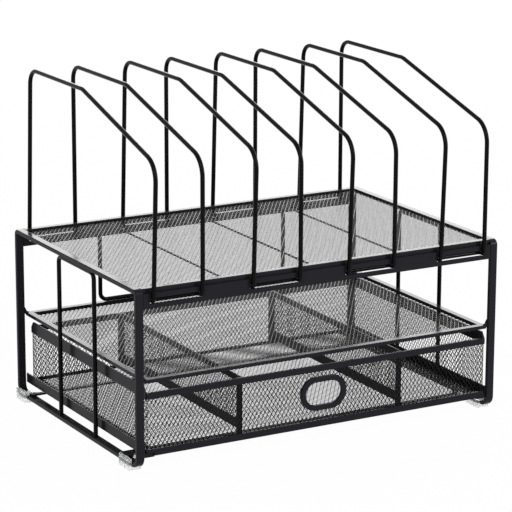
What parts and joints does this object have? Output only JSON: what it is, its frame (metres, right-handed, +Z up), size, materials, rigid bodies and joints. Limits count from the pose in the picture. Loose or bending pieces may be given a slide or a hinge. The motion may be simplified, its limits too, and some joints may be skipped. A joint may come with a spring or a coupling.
{
  "type": "mesh file organizer",
  "caption": "Black steel desk organizer: a mesh shelf with bent-wire file dividers over a second mesh shelf and a compartmented mesh drawer that slides out to the front.",
  "frame": {"origin": "on the desk under the middle of the overall box", "axes": "+X to the right along the front, +Y from the drawer front to the back, +Z up"},
  "size_m": [0.3342, 0.2288, 0.2789],
  "materials": {
    "powder_coat": "semi-gloss black powder coat on steel bar, wire and sheet",
    "steel_mesh": "black powder coat on expanded steel mesh",
    "clear_plastic": "clear moulded plastic"
  },
  "bodies": {
    "organizer": {"file_divider_1": "powder_coat", "file_divider_2": "powder_coat", "file_divider_3": "powder_coat", "file_divider_4": "powder_coat", "front_cross_strap": "powder_coat", "front_crossbar": "powder_coat", "front_left_foot": "clear_plastic", "front_right_foot": "clear_plastic", "front_rim_bar": "powder_coat", "left_runner": "powder_coat", "left_shelf_stay": "powder_coat", "left_side_frame": "powder_coat", "left_side_hoop": "powder_coat", "middle_shelf_frame": "powder_coat", "middle_shelf_mesh": "steel_mesh", "middle_shelf_stay": "powder_coat", "rear_cross_strap": "powder_coat", "rear_crossbar": "powder_coat", "rear_left_foot": "clear_plastic", "rear_paper_stop": "powder_coat", "rear_right_foot": "clear_plastic", "rear_rim_bar": "powder_coat", "right_runner": "powder_coat", "right_shelf_stay": "powder_coat", "right_side_frame": "powder_coat", "right_side_hoop": "powder_coat", "top_shelf_mesh": "steel_mesh"},
    "drawer": {"drawer_bottom_rim": "powder_coat", "drawer_finger_ring": "powder_coat", "drawer_floor_mesh": "steel_mesh", "drawer_front_mesh": "steel_mesh", "drawer_left_mesh": "steel_mesh", "drawer_rear_mesh": "steel_mesh", "drawer_right_mesh": "steel_mesh", "drawer_top_rim": "powder_coat", "left_divider_frame": "powder_coat", "left_divider_mesh": "steel_mesh", "right_divider_frame": "powder_coat", "right_divider_mesh": "steel_mesh"}
  },
  "joints": [
    {"name": "drawer_slide", "type": "slide", "parent": "organizer", "child": "drawer", "axis": [0, -1, 0], "range_m": [0, 0.15]}
  ]
}
